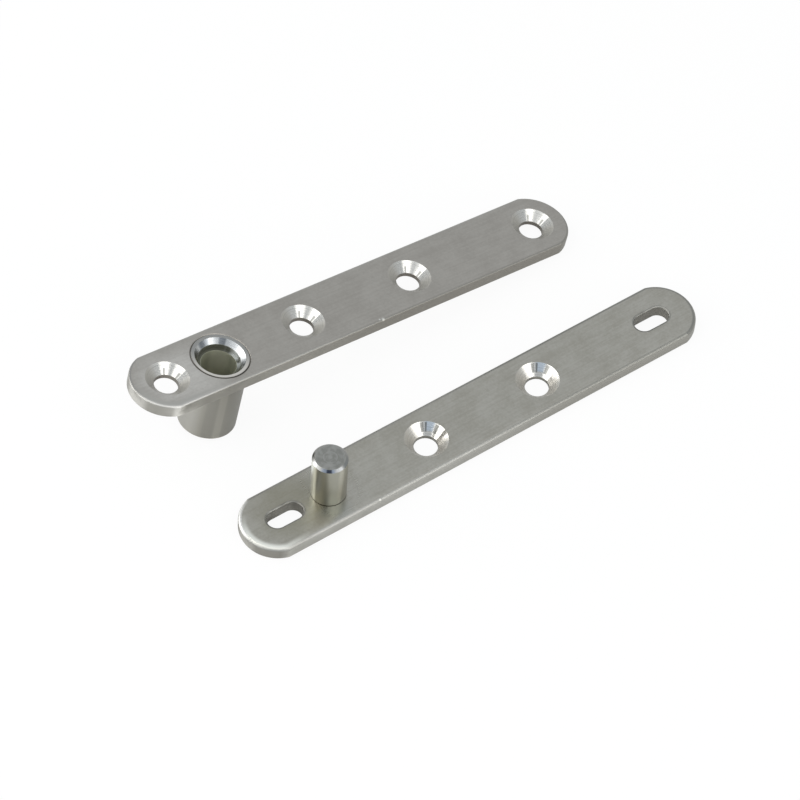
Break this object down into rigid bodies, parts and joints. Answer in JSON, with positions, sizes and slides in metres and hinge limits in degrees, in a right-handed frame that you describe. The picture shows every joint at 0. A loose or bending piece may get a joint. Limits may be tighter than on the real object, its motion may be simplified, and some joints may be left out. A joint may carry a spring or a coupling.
{
  "type": "pivot hinge",
  "caption": "Two-leaf pivot hinge for a door or flap: a bar with a turned pin and a bar with a turned socket that the pin pivots in.",
  "frame": {"origin": "on the pin's axis, in the plane of the pin plate's back", "axes": "+Z along the pin, away from its plate; +X along the pin plate, from the pin towards its far end"},
  "size_m": [0.1552, 0.0638, 0.0297],
  "materials": {
    "socket_plate": "satin",
    "socket_bush": "turned, polished at the mouth",
    "pin_plate": "satin",
    "pivot_pin": "turned, polished"
  },
  "bodies": {
    "socket_leaf": {"socket_plate": "socket_plate", "socket_bush": "socket_bush"},
    "pin_leaf": {"pin_plate": "pin_plate", "pivot_pin": "pivot_pin"}
  },
  "joints": [
    {"name": "pin_turn", "type": "hinge", "parent": "socket_leaf", "child": "pin_leaf", "pos_m": [0, 0, 0], "axis": [0, 0, 1], "range_deg": [-180, 0]}
  ]
}
